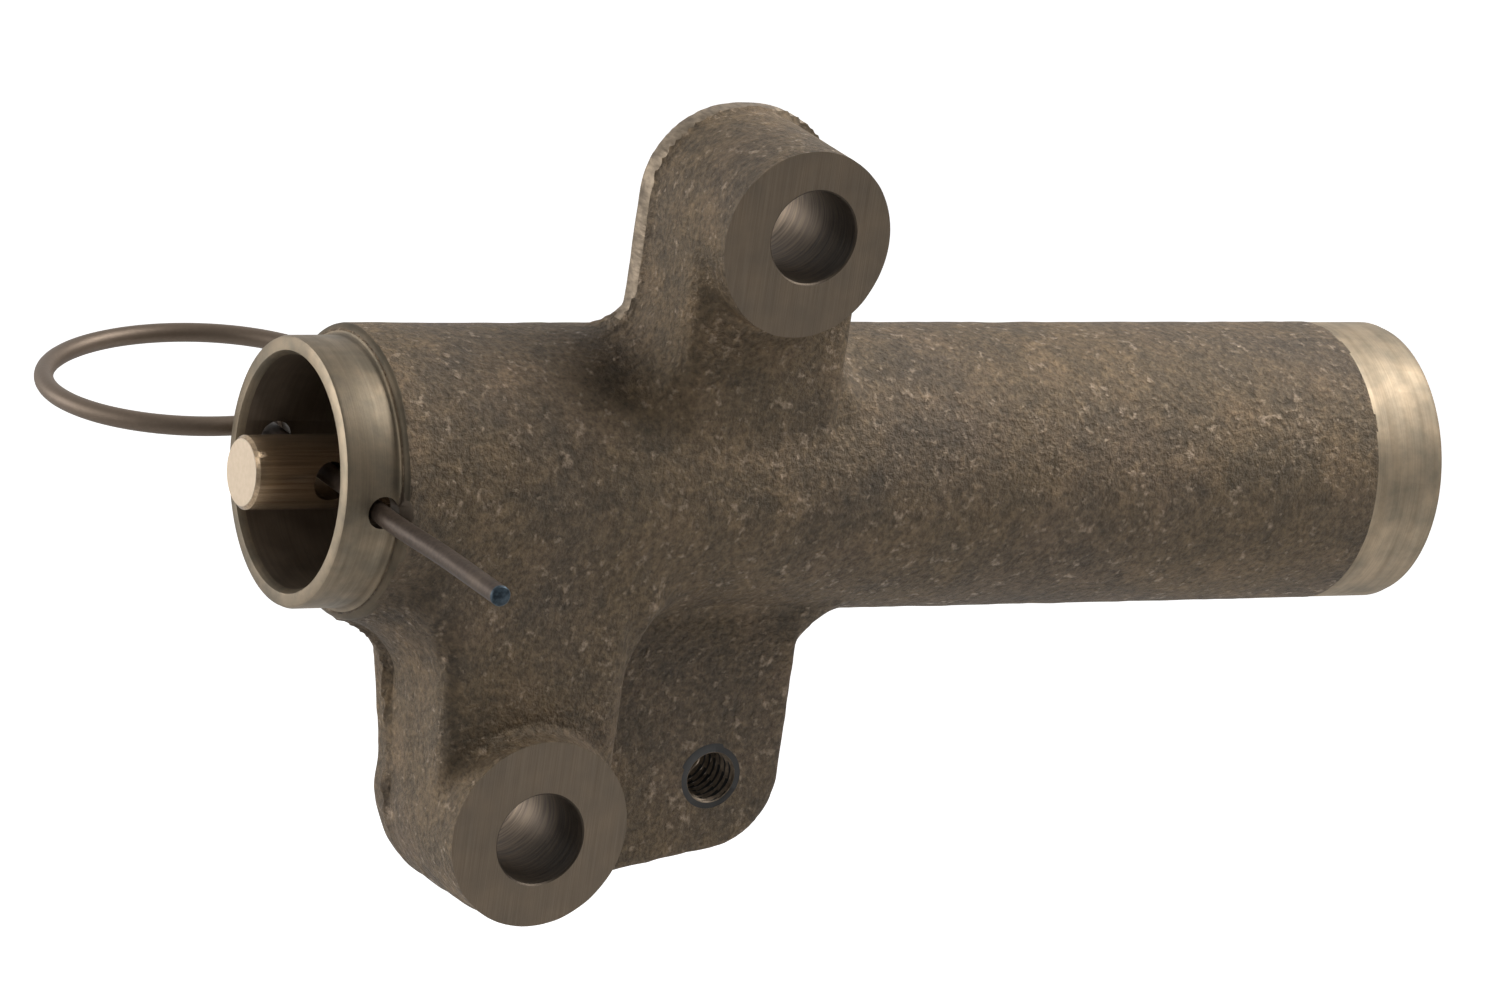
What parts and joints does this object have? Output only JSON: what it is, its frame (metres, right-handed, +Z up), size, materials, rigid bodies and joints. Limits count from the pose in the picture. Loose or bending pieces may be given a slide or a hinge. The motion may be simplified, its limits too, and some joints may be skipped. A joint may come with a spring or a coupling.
{
  "type": "timing belt tensioner",
  "caption": "Hydraulic timing belt tensioner: a cast cylinder with bolt bosses and a spring-loaded push rod, held compressed by a wire lock pin with a pull ring.",
  "frame": {"origin": "centre of the upper bolt hole on the mounting face that meets the engine", "axes": "+X along the cylinder from its open mouth to its closed end, +Y away from the engine along the bolts, +Z up"},
  "size_m": [0.1334, 0.0827, 0.0779],
  "materials": {
    "housing_iron": "rough cast skin, satin on the milled and turned faces",
    "rod_steel": "ground and hardened, satin",
    "pin_wire": "dark drawn wire, satin",
    "spring_steel": "dark spring steel, satin",
    "seal_steel": "pressed sheet steel, satin",
    "seal_rubber": "matte",
    "ring_iron": "turned, satin",
    "plunger_steel": "ground, satin",
    "ball_steel": "polished",
    "gasket": "soft flat washer, matte"
  },
  "bodies": {
    "casting": {"housing": "housing_iron", "seal_snap_ring": "spring_steel", "seal_case": "seal_steel", "seal_lip": "seal_rubber", "garter_spring": "spring_steel", "inner_sleeve": "plunger_steel", "sleeve_gasket": "gasket", "sleeve_o_ring": "seal_rubber", "return_spring": "spring_steel"},
    "rod": {"push_rod": "rod_steel", "wear_ring": "ring_iron", "rod_snap_ring": "spring_steel", "plunger_spring": "spring_steel", "plunger": "plunger_steel", "valve_seat": "plunger_steel", "valve_cage": "seal_steel", "check_ball_spring": "spring_steel"},
    "pin": {"lock_pin": "pin_wire"},
    "ball": {"check_ball": "ball_steel"}
  },
  "joints": [
    {"name": "pin_pull", "type": "slide", "parent": "casting", "child": "pin", "axis": [0, 1, 0], "range_m": [0, 0.053]},
    {"name": "rod_slide", "type": "slide", "parent": "casting", "child": "rod", "axis": [1, 0, 0], "range_m": [0, 0.0018], "stiffness_N_per_m": 3000, "springref_m": -0.01, "deforming": ["return_spring"]},
    {"name": "check_ball_lift", "type": "slide", "parent": "rod", "child": "ball", "axis": [1, 0, 0], "range_m": [0, 0.0005], "stiffness_N_per_m": 100, "springref_m": -0.001, "deforming": ["check_ball_spring"]}
  ]
}
